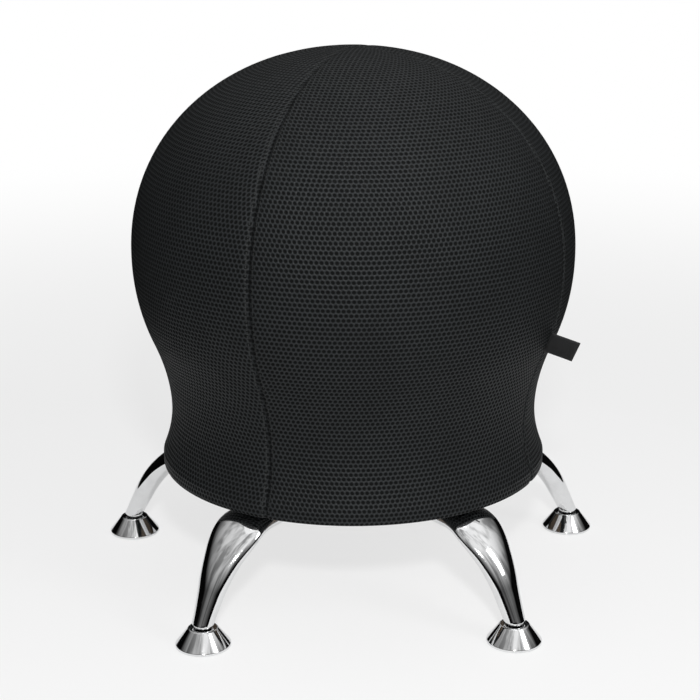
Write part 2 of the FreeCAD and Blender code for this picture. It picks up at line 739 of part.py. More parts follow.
def make_glide_stud(name, azimuth):
    body = foot_body(name, azimuth)
    top = "(arm_foot_height - collar_gap)"
    low = "(arm_foot_height - collar_gap - collar_thickness)"
    tip = "(arm_foot_height + stud_length)"
    corners = (
        ("0", "swivel_height"),
        ("neck_radius", "swivel_height"),
        ("neck_radius", low),
        ("collar_radius - collar_edge", low),
        ("collar_radius", low + " + collar_edge"),
        ("collar_radius", top + " - collar_edge"),
        ("collar_radius - collar_edge", top),
        ("stud_radius", top),
        ("stud_radius", tip + " - stud_tip_edge"),
        ("stud_radius - stud_tip_edge", tip),
        ("0", tip),
    )
    turn(body, name + "_turned", outline(body, name + "_outline", "XZ_Plane", corners))
    ball = feature(body, "AdditiveSphere", name + "_ball", Radius="swivel_radius")
    ball.AttachmentSupport = [(origin_feature(body, "XY_Plane"), "")]
    ball.MapMode = "FlatFace"
    ball.setExpression("AttachmentOffset.Base.z", from_sheet("swivel_height"))


def make_glide_bell(name, azimuth):
    body = foot_body(name, azimuth)
    lip_top = "(bell_lift + glide_lip_height)"
    slant = "sqrt((glide_radius - glide_top_radius) ^ 2 + (glide_height - bell_lift - glide_lip_height) ^ 2)"
    rise = "(glide_height - bell_lift - glide_lip_height)"
    spread = "(glide_radius - glide_top_radius)"
    inner_low = "(glide_radius - glide_wall)"
    inner_top = "(glide_height - glide_wall)"
    inner_lip = "(%s + glide_wall * (%s - %s) / %s)" % (lip_top, rise, slant, spread)
    inner_top_radius = "(glide_top_radius + (glide_wall * %s - glide_wall * %s) / %s)" % (spread, slant, rise)
    corners = (
        ("glide_radius", "bell_lift"),
        ("glide_radius", lip_top),
        ("glide_top_radius", "glide_height"),
        ("glide_hole_radius", "glide_height"),
        ("glide_hole_radius", inner_top),
        (inner_top_radius, inner_top),
        (inner_low, inner_lip),
        (inner_low, "bell_lift"),
    )
    bell = turn(body, name + "_turned", outline(body, name + "_outline", "XZ_Plane", corners))
    edge = ring_edges(bell.Shape, size("glide_top_radius"), size("glide_height"))
    feature(body, "Fillet", name + "_top_edge", Base=(bell, edge), Radius="glide_top_round")


def make_glide_pad(name, azimuth):
    body = foot_body(name, azimuth)
    base = "(glide_radius - glide_wall - fit_clearance)"
    top = "(glide_height - glide_wall - fit_clearance)"
    corners = (
        ("0", "0"),
        (base + " - pad_thickness / 4", "0"),
        (base, "pad_thickness / 4"),
        (base, "bell_lift + glide_lip_height - pad_thickness / 2"),
        (base + " - pad_thickness / 2", "pad_thickness"),
        ("pad_boss_foot_radius", "pad_thickness"),
        ("pad_boss_radius", top),
        ("pad_mouth_radius", top),
        ("pad_mouth_radius", "swivel_height"),
        ("0", "swivel_height"),
    )
    turn(body, name + "_turned", outline(body, name + "_outline", "XZ_Plane", corners))
    socket = feature(body, "SubtractiveSphere", name + "_socket", Radius="swivel_radius + swivel_clearance")
    socket.AttachmentSupport = [(origin_feature(body, "XY_Plane"), "")]
    socket.MapMode = "FlatFace"
    socket.setExpression("AttachmentOffset.Base.z", from_sheet("swivel_height"))


make_ball()
make_ball_plug()
make_cover()
make_hem_elastic()
make_cover_label()
make_seat_board()
make_tee_nuts()
make_bolt_washers()
make_plate_bolts()
make_mounting_plate()
make_hub()
for number, place in enumerate(PLACES):
    azimuth = PITCH * (number - 0.5)
    make_leg("leg_" + place, azimuth)
    make_foot_insert("foot_insert_" + place, azimuth)
    make_glide_stud("glide_stud_" + place, azimuth)
    make_glide_bell("glide_bell_" + place, azimuth)
    make_glide_pad("glide_pad_" + place, azimuth)
doc.recompute()

pieces = [part for part in doc.Objects if part.TypeId == "PartDesign::Body"]
pieces += [part for part in doc.Objects if part.TypeId == "Part::Feature" and part.Label == part.Name]
pieces += [part for part in doc.Objects if part.TypeId == "Part::Torus"]
faults = []
for part in doc.Objects:
    if "Invalid" in part.State or "Error" in part.State:
        faults.append("%s is %s" % (part.Name, part.State))
for piece in pieces:
    if piece.Shape.isNull() or not piece.Shape.isValid():
        faults.append("%s has no sound shape" % piece.Label)
if faults:
    raise RuntimeError("; ".join(faults))

os.makedirs("parts", exist_ok=True)
for piece in pieces:
    piece.Shape.exportStep("parts/%s.step" % piece.Label)
    print("%-26s solids %d  volume %.0f" % (piece.Label, len(piece.Shape.Solids), piece.Shape.Volume))
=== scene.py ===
# Looks of the balance ball chair, built on its packed CAD model. Lengths are in metres, +Z is up and -Y is
# the front.
import math

import bmesh
import bpy
from bpy.props import FloatProperty, FloatVectorProperty, IntProperty, PointerProperty
from mathutils import Matrix, Vector


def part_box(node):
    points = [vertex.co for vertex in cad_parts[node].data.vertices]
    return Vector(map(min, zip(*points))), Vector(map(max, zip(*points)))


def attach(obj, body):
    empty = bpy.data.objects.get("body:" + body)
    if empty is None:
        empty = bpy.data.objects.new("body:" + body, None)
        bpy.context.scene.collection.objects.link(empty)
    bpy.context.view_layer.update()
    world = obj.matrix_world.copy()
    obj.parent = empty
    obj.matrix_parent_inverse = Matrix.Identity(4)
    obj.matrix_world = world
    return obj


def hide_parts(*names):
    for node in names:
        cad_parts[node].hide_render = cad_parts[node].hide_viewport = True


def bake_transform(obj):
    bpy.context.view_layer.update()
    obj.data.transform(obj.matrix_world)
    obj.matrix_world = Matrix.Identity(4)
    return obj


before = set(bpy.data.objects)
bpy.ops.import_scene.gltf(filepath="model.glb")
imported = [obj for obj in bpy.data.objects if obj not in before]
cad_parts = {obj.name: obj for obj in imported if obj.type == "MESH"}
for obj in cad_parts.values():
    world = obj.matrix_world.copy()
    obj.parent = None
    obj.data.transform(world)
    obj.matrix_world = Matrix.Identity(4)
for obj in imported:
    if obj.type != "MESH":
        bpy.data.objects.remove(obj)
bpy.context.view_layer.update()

bl_info = {
    "name": "Balance ball chair",
    "version": (1, 0, 0),
    "blender": (4, 5, 0),
    "location": "3D View > Sidebar > Ball Chair",
    "description": "Builds the cover, the chromed base and the studio of a balance ball chair",
    "category": "Add Mesh",
}

PLACES = ("front_left", "front_right", "right", "back", "left")
GORES = ("front", "right", "back", "left")
BOARD_LOW, BOARD_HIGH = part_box("seat_board")
BOARD_MIDDLE = (BOARD_LOW + BOARD_HIGH) / 2
AXIS = Vector((BOARD_MIDDLE.x, BOARD_MIDDLE.y, 0))
BOARD_RADIUS = (BOARD_HIGH.x - BOARD_LOW.x) / 2
HUB_LOW, HUB_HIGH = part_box("hub_tube")


def foot_place(place):
    """Middle of a glide on the floor."""
    low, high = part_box("glide_pad_" + place)
    return Vector(((low.x + high.x) / 2, (low.y + high.y) / 2, 0))


FOOT_RADIUS = (foot_place("back") - AXIS).length


# Sizes and colours that a user would change


def length(description, default):
    return FloatProperty(description=description, default=default, unit="LENGTH", precision=5)


def turn(description, degrees):
    return FloatProperty(description=description, default=math.radians(degrees), subtype="ANGLE")


def tint(description, default):
    return FloatVectorProperty(
        description=description, default=default, subtype="COLOR", size=3, min=0, max=1
    )


class CoverSettings(bpy.types.PropertyGroup):
    """Shape and fabric of the mesh cover"""

    ball_radius: length("Half the ball's width", 0.2373)
    ball_middle: length("Height of the ball's widest ring", 0.3649)
    ball_rise: length("Ball's height above its widest ring", 0.213)
    ball_drop: length("Ball's depth below its widest ring", 0.226)
    ball_fullness: FloatProperty(description="Exponent of the ball's outline", default=2.08, min=0, max=4)
    ball_wall: length("Wall of the ball", 0.002)
    offset: length("Outer face of the cover, out from the ball and the board", 0.0018)
    thickness: length("Thickness of the mesh", 0.0014)
    leaves_ball: length("Height at which the cover leaves the ball", 0.27)
    waist_radius: length("Radius of the cover's waist", 0.2007)
    waist_height: length("Height of the cover's waist", 0.19)
    wrap: turn("How far round the board's top edge the cover lies", 22)
    top_round: length("Rounding of the board's top edge", 0.006)
    low_round: length("Rounding of the board's lower edge", 0.003)
    hem_radius: length("Radius of the elastic in the hem", 0.176)
    seam: turn("Azimuth of the seam left of the front", -26.6)
    seam_dip: length("Depth of the valley that a seam pulls in the cover", 0.0012)
    seam_reach: length("Half the width of that valley", 0.006)
    stitch_row: length("Distance of each row of stitches from its seam", 0.0038)
    stitch_pitch: length("Distance from one stitch to the next", 0.0042)
    gathers: IntProperty(description="Gathers round the hem", default=112, min=0)
    gather_depth: length("Depth of the gathers at the hem", 0.0014)
    dot_pitch: length("Distance from one hole of the mesh to the next in its row", 0.005)
    row_pitch: length("Distance from one row of holes to the next", 0.00465)
    thread: tint("Colour of the mesh's threads", (0.0165, 0.0182, 0.0192))
    # The holes show the dark ball beneath, painted darker still as the shade inside them.
    hole: tint("Colour in the mesh's holes", (0.003, 0.0034, 0.0034))


class LabelSettings(bpy.types.PropertyGroup):
    """The folded label in the seam"""

    root_height: length("Height of the label's sewn end", 0.2838)
    reach: length("Length that stands out of the seam", 0.031)
    width: length("Width of the tape", 0.022)
    ply: length("Thickness of one layer", 0.0005)
    sewn: length("Length that is sewn into the seam", 0.002)
    proud: length("How far its root stands out from the cover", 0.0012)
    curl: length("How far its free end curls aside", 0.0012)
    sag: length("How far its free end sags", 0.0009)
    droop: turn("How far the label hangs below level", 12)
    slant: turn("How far its ends lean with the cover", 11)
    colour: tint("Colour of the tape", (0.006, 0.0065, 0.007))


class LegSettings(bpy.types.PropertyGroup):
    """Shape of a leg"""

    foot_height: length("Height of a leg's lower end", 0.024)
    foot_lean: turn("Lean of a leg at its foot, from upright", 27)
    knee_lean: turn("Lean of a leg under the board's edge", 57)
    straight: length("Straight length above the foot", 0.034)
    bend: length("Radius of the long bend", 0.13)
    run_height: length("Height of the level run's centre line", 0.1103)
    foot_width: length("Width at the foot", 0.022)
    shoulder_width: length("Width under the board's edge", 0.06)
    hub_width: length("Width at the hub", 0.042)
    foot_thickness: length("Thickness at the foot", 0.018)
    bend_thickness: length("Thickness in the bend", 0.023)
    run_thickness: length("Thickness under the board", 0.022)
    foot_bevel: length("Bevel round a leg's lower end", 0.0008)
    sides: IntProperty(description="Facets round a leg", default=72, min=12)
    chrome: tint("Colour of the chrome", (0.86, 0.865, 0.87))


class GlideSettings(bpy.types.PropertyGroup):
    """Shape of a bell glide and its stud"""

    rim_radius: length("Radius of the bell's rim", 0.0285)
    top_radius: length("Radius of the bell's top", 0.015)
    height: length("Height of the bell's top", 0.02)
    lip: length("Height of the upright lip round the rim", 0.0024)
    lift: length("Room between the bell's rim and the floor", 0.0006)
    wall: length("Wall of the bell", 0.0012)
    hole_radius: length("Hole in the bell's top", 0.0058)
    collar_radius: length("Radius of the stud's collar", 0.01)
    collar_low: length("Height of the collar's lower face", 0.0215)
    collar_top: length("Height of the collar's upper face", 0.0239)
    thread_radius: length("Radius of the stud's thread", 0.0039)
    tip_bevel: length("Bevel of the stud's tip", 0.0008)
    neck_radius: length("Radius of the stud's neck", 0.0035)
    swivel_radius: length("Radius of the ball at the stud's end", 0.006)
    swivel_height: length("Height of that ball's centre", 0.013)


class StudioSettings(bpy.types.PropertyGroup):
    """Camera and light"""

    camera_distance: length("Level distance from the chair's axis", 1.8065)
    camera_height: length("Height above the floor", 0.7892)
    camera_azimuth: turn("From the front towards +X", -1.543)
    camera_pitch: turn("How far the camera looks down", 16.698)
    lens: FloatProperty(description="Focal length in millimetres", default=87.82, min=1)
    side_shift: FloatProperty(description="Sideways shift of the frame", default=-0.00471)
    floor: tint("Colour of the floor and backdrop", (0.9, 0.9, 0.9))


SETTINGS = (
    ("chair_cover", CoverSettings),
    ("chair_label", LabelSettings),
    ("chair_leg", LegSettings),
    ("chair_glide", GlideSettings),
    ("chair_studio", StudioSettings),
)


# Mesh helpers


def finished(name, bm, material, sharp=40.0):
    """Make an object from a bmesh, smooth except at sharp edges."""
    mesh = bpy.data.meshes.new(name)
    bm.to_mesh(mesh)
    bm.free()
    for face in mesh.polygons:
        face.use_smooth = True
    mesh.set_sharp_from_angle(angle=math.radians(sharp))
    mesh.materials.append(material)
    piece = bpy.data.objects.new(name, mesh)
    bpy.context.scene.collection.objects.link(piece)
    return piece


def chain(bm, points):
    """A chain of edges through points in the upright plane of +X: pairs of radius and height."""
    verts = [bm.verts.new((radius, 0, height)) for radius, height in points]
    edges = [bm.edges.new(pair) for pair in zip(verts, verts[1:])]
    return verts, edges


def spun(bm, points, steps=96):
    """Spin a chain of points all the way round the upright axis."""
    verts, edges = chain(bm, points)
    bmesh.ops.spin(
        bm, geom=verts + edges, cent=(0, 0, 0), axis=(0, 0, 1), angle=math.tau, steps=steps, use_merge=True
    )
    bmesh.ops.remove_doubles(bm, verts=bm.verts, dist=1e-6)
    bmesh.ops.recalc_face_normals(bm, faces=bm.faces)


def arc_points(centre, radius, first, last, steps):
    """Points on an arc in the upright plane, from one angle above level to another, in degrees."""
    points = []
    for step in range(steps + 1):
        angle = math.radians(first + (last - first) * step / steps)
        points.append((centre[0] + radius * math.cos(angle), centre[1] + radius * math.sin(angle)))
    return points


def rounded(corners, steps=4):
    """A chain of points with rounded corners: each corner is radius, height and how far its round reaches."""
    points = []
    for number, (radius, height, reach) in enumerate(corners):
        here = Vector((radius, height))
        if reach == 0 or number in (0, len(corners) - 1):
            points.append((radius, height))
            continue
        before = Vector(corners[number - 1][:2]) - here
        after = Vector(corners[number + 1][:2]) - here
        start = here + before.normalized() * reach
        end = here + after.normalized() * reach
        for step in range(steps + 1):
            t = step / steps
            bent = start * (1 - t) ** 2 + here * 2 * t * (1 - t) + end * t ** 2
            points.append((bent.x, bent.y))
    return points


def turned_to(azimuth, place):
    """The move that takes +X to an azimuth, counted from the front towards +X, and then to a place."""
    return Matrix.Translation(place) @ Matrix.Rotation(azimuth - math.pi / 2, 4, "Z")


def drawn_out(bm, edges):
    """Extrude a chain or ring of edges: its new vertices and edges, not yet moved."""
    made = bmesh.ops.extrude_edge_only(bm, edges=edges)["geom"]
    verts = [item for item in made if isinstance(item, bmesh.types.BMVert)]
    fresh = set(verts)
    edges = [item for item in made if isinstance(item, bmesh.types.BMEdge) and fresh.issuperset(item.verts)]
    return verts, edges


def thicken(piece, name, thickness, offset):
    """Give a sheet its thickness, inwards at an offset of -1 and to both sides at 0."""
    skin = piece.modifiers.new(name, "SOLIDIFY")
    skin.thickness = thickness
    skin.offset = offset


def scaled(colour, factor):
    """A colour made lighter or darker."""
    return tuple(channel * factor for channel in colour)


# Shader helpers


class Shader:
    """A material or world under construction: its nodes, its links and its surface shader."""

    def __init__(self, name, store="materials", surface="Principled BSDF"):
        self.block = getattr(bpy.data, store).new(name)
        self.block.use_nodes = True
        self.nodes = self.block.node_tree.nodes
        self.links = self.block.node_tree.links
        self.surface = self.nodes[surface]

    def add(self, kind, **settings):
        """Add a node and set its properties."""
        node = self.nodes.new("ShaderNode" + kind)
        for key, value in settings.items():
            setattr(node, key, value)
        return node

    def link(self, source, target):
        self.links.new(source, target)

    def feed(self, socket, given):
        """Give a socket a number or a colour, or link another socket to it."""
        if isinstance(given, bpy.types.NodeSocket):
            self.link(given, socket)
        else:
            socket.default_value = (*given, 1) if isinstance(given, tuple) else given

    def feed_all(self, node, given):
        """Feed a node's sockets by their names or numbers."""
        for key, value in given.items():
            self.feed(node.inputs[key], value)

    def value(self, name, given):
        """Feed one of the surface's own sockets."""
        self.feed(self.surface.inputs[name], given)

    def maths(self, operation, *given):
        """A maths node between sockets and numbers; its result."""
        node = self.add("Math", operation=operation)
        self.feed_all(node, dict(enumerate(given)))
        return node.outputs[0]

    def blend(self, factor, first, second):
        """Mix two colours by a factor."""
        node = self.add("Mix", data_type="RGBA")
        self.feed_all(node, {"Factor": factor, 6: first, 7: second})
        return node.outputs[2]

    def ranged(self, value, low, high, new_low=0.0, new_high=1.0, smooth=False):
        """Map a value from one range to another, clamped."""
        node = self.add("MapRange", interpolation_type="SMOOTHSTEP" if smooth else "LINEAR")
        self.feed_all(node, {
            "Value": value, "From Min": low, "From Max": high, "To Min": new_low, "To Max": new_high
        })
        return node.outputs["Result"]

    def noise(self, place, scale, detail=3.0, rough=0.55):
        """A noise on a coordinate; its factor."""
        node = self.add("TexNoise")
        self.feed_all(node, {"Vector": place, "Scale": scale, "Detail": detail, "Roughness": rough})
        return node.outputs["Fac"]

    def place(self):
        """The coordinate on the piece itself."""
        return self.add("TexCoord").outputs["Object"]

    def mapped(self, place, scale, turned=(0, 0, 0)):
        """A coordinate stretched and turned."""
        node = self.add("Mapping")
        self.link(place, node.inputs["Vector"])
        node.inputs["Scale"].default_value = scale
        node.inputs["Rotation"].default_value = turned
        return node.outputs[0]

    def axes(self, vector):
        """The parts of a vector, by their letters."""
        node = self.add("SeparateXYZ")
        self.link(vector, node.inputs[0])
        return node.outputs

    def bump(self, height, distance, strength=1.0):
        """Raise the surface by a height map."""
        node = self.add("Bump")
        self.feed_all(node, {"Strength": strength, "Distance": distance, "Height": height})
        self.value("Normal", node.outputs["Normal"])

    def group(self, tree, place):
        """A node group on a coordinate; its node."""
        node = self.add("Group", node_tree=tree)
        self.link(place, node.inputs["Place"])
        return node


class Group(Shader):
    """A node group under construction: a place and numbers go in, and masks come out."""

    def __init__(self, name, numbers, masks):
        self.tree = bpy.data.node_groups.new(name, "ShaderNodeTree")
        new_socket = self.tree.interface.new_socket
        new_socket("Place", in_out="INPUT", socket_type="NodeSocketVector")
        for label, value in numbers.items():
            new_socket(label, in_out="INPUT", socket_type="NodeSocketFloat").default_value = value
        for label in masks:
            new_socket(label, in_out="OUTPUT", socket_type="NodeSocketFloat")
        self.nodes = self.tree.nodes
        self.links = self.tree.links
        self.input = self.nodes.new("NodeGroupInput").outputs
        self.output = self.nodes.new("NodeGroupOutput").inputs


def kept(build):
    """Build a material or node group of a name once, and find it again after that."""

    def found(name, *given):
        for store in (bpy.data.materials, bpy.data.node_groups):
            if name in store:
                return store[name]
        return build(name, *given)

    return found


@kept
def dot_mesh_group(name):
    """Staggered round holes on a piece's own UV map, whose unit is a metre."""
    numbers = {"Dot Pitch": 0.0047, "Row Pitch": 0.0044, "Hole": 0.36}
    made = Group(name, numbers, ("Threads", "Knot Highlight", "Height"))
    split = made.axes(made.input["Place"])
    repeat = made.maths("MULTIPLY", made.input["Row Pitch"], 2.0)
    across = made.maths("DIVIDE", split["X"], made.input["Dot Pitch"])
    rows = made.maths("DIVIDE", split["Y"], repeat)
    flat = made.maths("DIVIDE", repeat, made.input["Dot Pitch"])
    nearest = None
    for shift in (0.0, 0.5):
        aside = made.maths("SUBTRACT", made.maths("FRACT", made.maths("ADD", across, shift)), 0.5)
        along = made.maths("SUBTRACT", made.maths("FRACT", made.maths("ADD", rows, shift)), 0.5)
        along = made.maths("MULTIPLY", along, flat)
        across_squared = made.maths("MULTIPLY", aside, aside)
        along_squared = made.maths("MULTIPLY", along, along)
        distance = made.maths("SQRT", made.maths("ADD", across_squared, along_squared))
        nearest = distance if nearest is None else made.maths("MINIMUM", nearest, distance)
    past = made.maths("SUBTRACT", nearest, made.input["Hole"])
    made.link(made.ranged(past, -0.09, 0.09, smooth=True), made.output["Threads"])
    # A mask of the thread crossings farthest from the holes, where a painted highlight goes.
    made.link(made.ranged(nearest, 0.47, 0.59, smooth=True), made.output["Knot Highlight"])
    made.link(made.ranged(past, -0.22, 0.24, smooth=True), made.output["Height"])
    return made.tree


@kept
def scuff_group(name):
    """Hairline scratches and finger haze: a mask of each, on Object coordinates."""
    made = Group(name, {"Scale": 60.0}, ("Haze", "Scratches"))
    place, scale = made.input["Place"], made.input["Scale"]
    haze = made.noise(place, scale, 4.0, 0.5)
    made.link(made.ranged(haze, 0.45, 0.75), made.output["Haze"])
    lines = made.noise(made.mapped(place, (9, 9, 1), (0.4, 0.9, 0.2)), scale, 2.0, 0.5)
    made.link(made.ranged(lines, 0.62, 0.68), made.output["Scratches"])
    return made.tree


@kept
def dusted_group(name):
    """Dust that settles on what faces up, as a mask."""
    made = Group(name, {"Scale": 300.0}, ("Dust",))
    upwards = made.ranged(made.axes(made.add("NewGeometry").outputs["Normal"])["Z"], 0.2, 1.0)
    specks = made.ranged(made.noise(made.input["Place"], made.input["Scale"], 3.0, 0.5), 0.5, 0.8)
    made.link(made.maths("MULTIPLY", upwards, specks), made.output["Dust"])
    return made.tree


@kept
def mesh_fabric(name, cover):
    """Black spacer mesh with round holes, sewn along the gores' edges, with painted shade in its holes and
    seams and painted highlights on its knots.
    """
    made = Shader(name)
    along = made.add("UVMap", uv_map="weave").outputs["UV"]
    dots = made.group(dot_mesh_group("dot_mesh"), along)
    dots.inputs["Dot Pitch"].default_value = cover.dot_pitch
    dots.inputs["Row Pitch"].default_value = cover.row_pitch
    threads = dots.outputs["Threads"]
    place = made.place()
    cloudy = made.noise(place, 14.0, 3.0)
    fuzz = made.noise(place, 900.0, 2.0)
    seam = made.add("Attribute", attribute_name="seam_gap").outputs["Fac"]
    row_gap = made.maths("ABSOLUTE", made.maths("SUBTRACT", seam, cover.stitch_row))
    in_row = made.ranged(row_gap, 0.0004, 0.0009, 1.0, 0.0)
    run = made.maths("FRACT", made.maths("DIVIDE", made.axes(along)["Y"], cover.stitch_pitch))
    dash = made.maths("ABSOLUTE", made.maths("SUBTRACT", run, 0.5))
    stitches = made.maths("MULTIPLY", in_row, made.ranged(dash, 0.3, 0.38, 1.0, 0.0))
    # Painted shade: the cover is made darker in the valley along each seam.
    seam_shade = made.ranged(seam, 0.0005, cover.seam_reach, 1.0, 0.0)
    tone = made.blend(made.ranged(cloudy, 0.3, 0.75), scaled(cover.thread, 0.86), scaled(cover.thread, 1.18))
    # Painted highlight: the thread crossings are made lighter, as if they caught the light.
    knot_highlight = made.maths("MULTIPLY", dots.outputs["Knot Highlight"], made.ranged(fuzz, 0.3, 0.65, 0.4, 1.0))
    tone = made.blend(knot_highlight, tone, scaled(cover.thread, 2.1))
    # Painted shade: the holes get a colour darker than the ball beneath, for the shade inside them.
    tone = made.blend(threads, tuple(cover.hole), tone)
    tone = made.blend(made.maths("MULTIPLY", seam_shade, 0.2), tone, scaled(cover.thread, 0.6))
    tone = made.blend(stitches, tone, (0.028, 0.03, 0.03))
    dust = made.group(dusted_group("dusted"), place)
    tone = made.blend(made.maths("MULTIPLY", dust.outputs["Dust"], 0.05), tone, (0.35, 0.34, 0.33))
    made.value("Base Color", tone)
    made.value("Roughness", made.ranged(threads, 0.0, 1.0, 0.9, 0.45))
    made.value("Specular IOR Level", 0.13)
    relief = made.maths("ADD", dots.outputs["Height"], made.maths("MULTIPLY", fuzz, 0.25))
    relief = made.maths("ADD", relief, made.maths("MULTIPLY", stitches, 0.9))
    made.bump(relief, 0.0009, 0.75)
    return made.block


@kept
def plain_fabric(name, colour, pitch, relief=0.0003):
    """A fine woven tape."""
    made = Shader(name)
    place = made.place()
    weave = None
    for axis in ("X", "Y", "Z"):
        bands = made.add("TexWave", bands_direction=axis)
        made.link(place, bands.inputs["Vector"])
        bands.inputs["Scale"].default_value = 1 / (pitch * math.pi)
        bands.inputs["Distortion"].default_value = 0.6
        weave = bands.outputs["Fac"] if weave is None else made.maths("MULTIPLY", weave, bands.outputs["Fac"])
    shade = made.noise(place, 60.0)
    tone = made.blend(weave, scaled(colour, 0.55), tuple(colour))
    tone = made.blend(made.ranged(shade, 0.35, 0.8), tone, scaled(colour, 1.5))
    made.value("Base Color", tone)
    made.value("Roughness", made.ranged(shade, 0.3, 0.7, 0.55, 0.75))
    made.value("Specular IOR Level", 0.35)
    made.value("Sheen Weight", 0.15)
    made.bump(weave, relief, 0.6)
    return made.block


@kept
def chrome_plate(name, colour, haze=0.05):
    """Bright chrome with faint haze and hairline scratches."""
    made = Shader(name)
    place = made.place()
    scuffs = made.group(scuff_group("scuffs"), place)
    made.value("Metallic", 1.0)
    tone = made.blend(scuffs.outputs["Haze"], tuple(colour), scaled(colour, 0.93))
    made.value("Base Color", tone)
    rough = made.maths("ADD", made.maths("MULTIPLY", scuffs.outputs["Haze"], haze), 0.035)
    rough = made.maths("ADD", rough, made.maths("MULTIPLY", scuffs.outputs["Scratches"], 0.06))
    made.value("Roughness", rough)
    made.bump(made.noise(place, 45.0, 2.0), 0.00012, 0.5)
    return made.block


@kept
def zinc_plate(name):
    """Dull zinc on small steel pieces."""
    made = Shader(name)
    place = made.place()
    scuffs = made.group(scuff_group("scuffs"), place)
    scuffs.inputs["Scale"].default_value = 160.0
    bloom = made.noise(place, 260.0)
    made.value("Metallic", 1.0)
    tone = made.blend(made.ranged(bloom, 0.35, 0.7), (0.46, 0.46, 0.45), (0.6, 0.6, 0.58))
    made.value("Base Color", tone)
    made.value("Roughness", made.ranged(scuffs.outputs["Haze"], 0, 1, 0.3, 0.45))
    made.bump(bloom, 0.00008, 0.5)
    return made.block


@kept
def moulded_plastic(name):
    """Black nylon with a fine moulded grain."""
    made = Shader(name)
    place = made.place()
    grain = made.noise(place, 1400.0, 2.0)
    wear = made.noise(place, 120.0, 4.0)
    tone = made.blend(made.ranged(wear, 0.55, 0.8), (0.011, 0.011, 0.012), (0.03, 0.03, 0.03))
    made.value("Base Color", tone)
    made.value("Roughness", made.ranged(wear, 0.3, 0.8, 0.42, 0.62))
    made.bump(grain, 0.00012, 0.5)
    return made.block


@kept
def ball_vinyl(name):
    """Dark grey ball vinyl with its fine mould rings."""
    made = Shader(name)
    place = made.place()
    rings = made.add("TexWave", bands_direction="Z")
    made.link(place, rings.inputs["Vector"])
    rings.inputs["Scale"].default_value = 32.0
    shade = made.noise(place, 22.0)
    tone = made.blend(made.ranged(shade, 0.3, 0.7), (0.028, 0.029, 0.031), (0.04, 0.041, 0.044))
    made.value("Base Color", tone)
    made.value("Roughness", made.ranged(shade, 0.3, 0.7, 0.36, 0.5))
    made.bump(rings.outputs["Fac"], 0.0006, 0.5)
    return made.block


@kept
def plywood(name):
    """Dark-stained birch plywood: long grain on the faces, plies on the edge."""
    made = Shader(name)
    place = made.place()
    stretched = made.mapped(place, (1, 14, 4))
    fibre = made.noise(stretched, 18.0, 6.0, 0.6)
    figure = made.noise(stretched, 3.0, 3.0)
    two_plies = 0.0042
    ply = made.maths("FRACT", made.maths("DIVIDE", made.axes(place)["Z"], two_plies))
    ends = made.ranged(made.maths("ABSOLUTE", made.maths("SUBTRACT", ply, 0.5)), 0.2, 0.3)
    facing = made.axes(made.add("NewGeometry").outputs["Normal"])
    on_edge = made.ranged(made.maths("ABSOLUTE", facing["Z"]), 0.2, 0.6, 1.0, 0.0)
    tone = made.blend(made.ranged(fibre, 0.3, 0.72), (0.085, 0.06, 0.04), (0.15, 0.11, 0.075))
    tone = made.blend(made.ranged(figure, 0.4, 0.7, 0.0, 0.45), tone, (0.12, 0.085, 0.055))
    tone = made.blend(made.maths("MULTIPLY", on_edge, ends), tone, (0.05, 0.035, 0.022))
    made.value("Base Color", tone)
    made.value("Roughness", made.ranged(fibre, 0.3, 0.7, 0.5, 0.68))
    made.bump(fibre, 0.00025, 0.5)
    return made.block


# The cover


def egg_radius(cover, height, out=0.0):
    """Radius of the ball's outline at a height, or of an outline that lies out from it."""
    above = height - cover.ball_middle
    half = (cover.ball_rise if above > 0 else cover.ball_drop) + out
    part = min(abs(above) / half, 1.0)
    return (cover.ball_radius + out) * (1 - part ** cover.ball_fullness) ** (1 / cover.ball_fullness)


def free_span(cover, end_height, end_radius, end_slope, steps):
    """The cover's stretch from its waist to where it lands, arriving with the landing's slope."""
    reach = end_height - cover.waist_height
    power = end_slope * reach / (end_radius - cover.waist_radius)
    points = []
    for step in range(1, steps + 1):
        part = step / steps
        radius = cover.waist_radius + (end_radius - cover.waist_radius) * part ** power
        points.append((radius, cover.waist_height + reach * part))
    return points


def cover_outline(cover):
    """The cover's outer outline from the crown to the hem."""
    def on_ball(height):
        return egg_radius(cover, height, cover.offset)

    points = []
    crown_steps = 44
    rise = cover.ball_rise + cover.offset
    for step in range(crown_steps + 1):
        angle = math.radians(90 - 90 * step / crown_steps)
        height = cover.ball_middle + rise * math.sin(angle) ** (2 / cover.ball_fullness)
        points.append((on_ball(height), height))
    low_steps = 22
    for step in range(1, low_steps + 1):
        height = cover.ball_middle + (cover.leaves_ball - cover.ball_middle) * step / low_steps
        points.append((on_ball(height), height))
    gap = 0.0005
    top = cover.leaves_ball
    slope = (on_ball(top + gap) - on_ball(top - gap)) / (2 * gap)
    points += free_span(cover, top, on_ball(top), slope, 18)[-2::-1]
    points.append((cover.waist_radius, cover.waist_height))
    edge_round = cover.top_round + cover.offset
    centre = (BOARD_RADIUS - cover.top_round, BOARD_HIGH.z - cover.top_round)
    landing = arc_points(centre, edge_round, math.degrees(cover.wrap), 0, 6)
    points += free_span(cover, landing[0][1], landing[0][0], -math.tan(cover.wrap), 12)[:-1] + landing
    centre = (BOARD_RADIUS - cover.low_round, BOARD_LOW.z + cover.low_round)
    points += arc_points(centre, cover.low_round + cover.offset, 0, -90, 8)
    hem_room = 0.001
    inner = cover.hem_radius + hem_room
    last = points[-1]
    steps = 10
    for step in range(1, steps + 1):
        points.append((last[0] + (inner - last[0]) * step / steps, last[1]))
    return points


